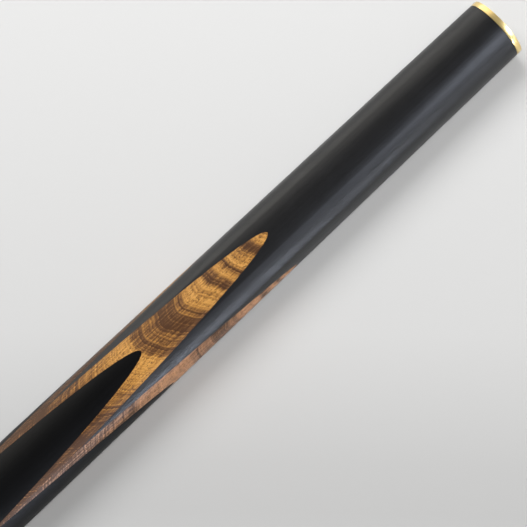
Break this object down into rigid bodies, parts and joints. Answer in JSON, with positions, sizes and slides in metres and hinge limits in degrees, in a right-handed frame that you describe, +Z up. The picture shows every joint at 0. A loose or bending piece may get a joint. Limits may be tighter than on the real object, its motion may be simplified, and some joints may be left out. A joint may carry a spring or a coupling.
{
  "type": "pool cue",
  "caption": "Jointed wooden pool cue with a threaded brass joint: figured and black splices on the butt, a tapered ash shaft, leather tip and screw-in rubber bumper.",
  "frame": {"origin": "centre of the rubber bumper's flat end face, on the cue's axis", "axes": "+X along the cue from the butt to the tip, +Z up through the middle of one figured splice, the cue lying level"},
  "size_m": [1.4988, 0.0296, 0.0296],
  "materials": {
    "ash": "satin lacquer, straight open grain with dark arrow marks",
    "black_wood": "satin oil finish, fine straight grain",
    "figured_wood": "satin lacquer, golden with dark brown growth rings",
    "deep_black_wood": "satin lacquer, almost no visible grain",
    "brass": "turned and polished",
    "steel": "turned",
    "rubber": "moulded matt",
    "tip_leather": "chalked, fibrous"
  },
  "bodies": {
    "butt": {"butt_core": "ash", "base_splice_1": "black_wood", "base_splice_2": "black_wood", "base_splice_3": "black_wood", "base_splice_4": "black_wood", "figured_splice_1": "figured_wood", "figured_splice_2": "figured_wood", "figured_splice_3": "figured_wood", "figured_splice_4": "figured_wood", "black_splice_1": "deep_black_wood", "black_splice_2": "deep_black_wood", "black_splice_3": "deep_black_wood", "black_splice_4": "deep_black_wood", "butt_joint_collar": "brass", "butt_joint_insert": "brass", "end_collar": "brass", "end_insert": "brass"},
    "bumper": {"bumper_pad": "rubber"},
    "bumper_screw": {"bumper_stud": "steel"},
    "shaft_collar": {"shaft_joint_collar": "brass"},
    "shaft": {"ash_shaft": "ash", "shaft_splice_1": "black_wood", "shaft_splice_2": "black_wood", "shaft_splice_3": "black_wood", "shaft_splice_4": "black_wood", "joint_pin": "brass", "ferrule": "brass", "leather_tip": "tip_leather"}
  },
  "joints": [
    {"name": "shaft_travel", "type": "slide", "parent": "butt", "child": "shaft_collar", "axis": [1, 0, 0], "range_m": [-0.0508, 0]},
    {"name": "shaft_turn", "type": "hinge", "parent": "shaft_collar", "child": "shaft", "pos_m": [0.471, 0, 0], "axis": [1, 0, 0], "range_deg": [-7200, 0]},
    {"name": "bumper_travel", "type": "slide", "parent": "butt", "child": "bumper", "axis": [-1, 0, 0], "range_m": [0, 0.01814]},
    {"name": "bumper_turn", "type": "hinge", "parent": "bumper", "child": "bumper_screw", "pos_m": [0.009, 0, 0], "axis": [-1, 0, 0], "range_deg": [0, 3600]}
  ],
  "couplings": [
    {"joint": "shaft_turn", "follows": "shaft_travel", "rad_per_m": 2473.7},
    {"joint": "bumper_turn", "follows": "bumper_travel", "rad_per_m": 3463.7}
  ]
}
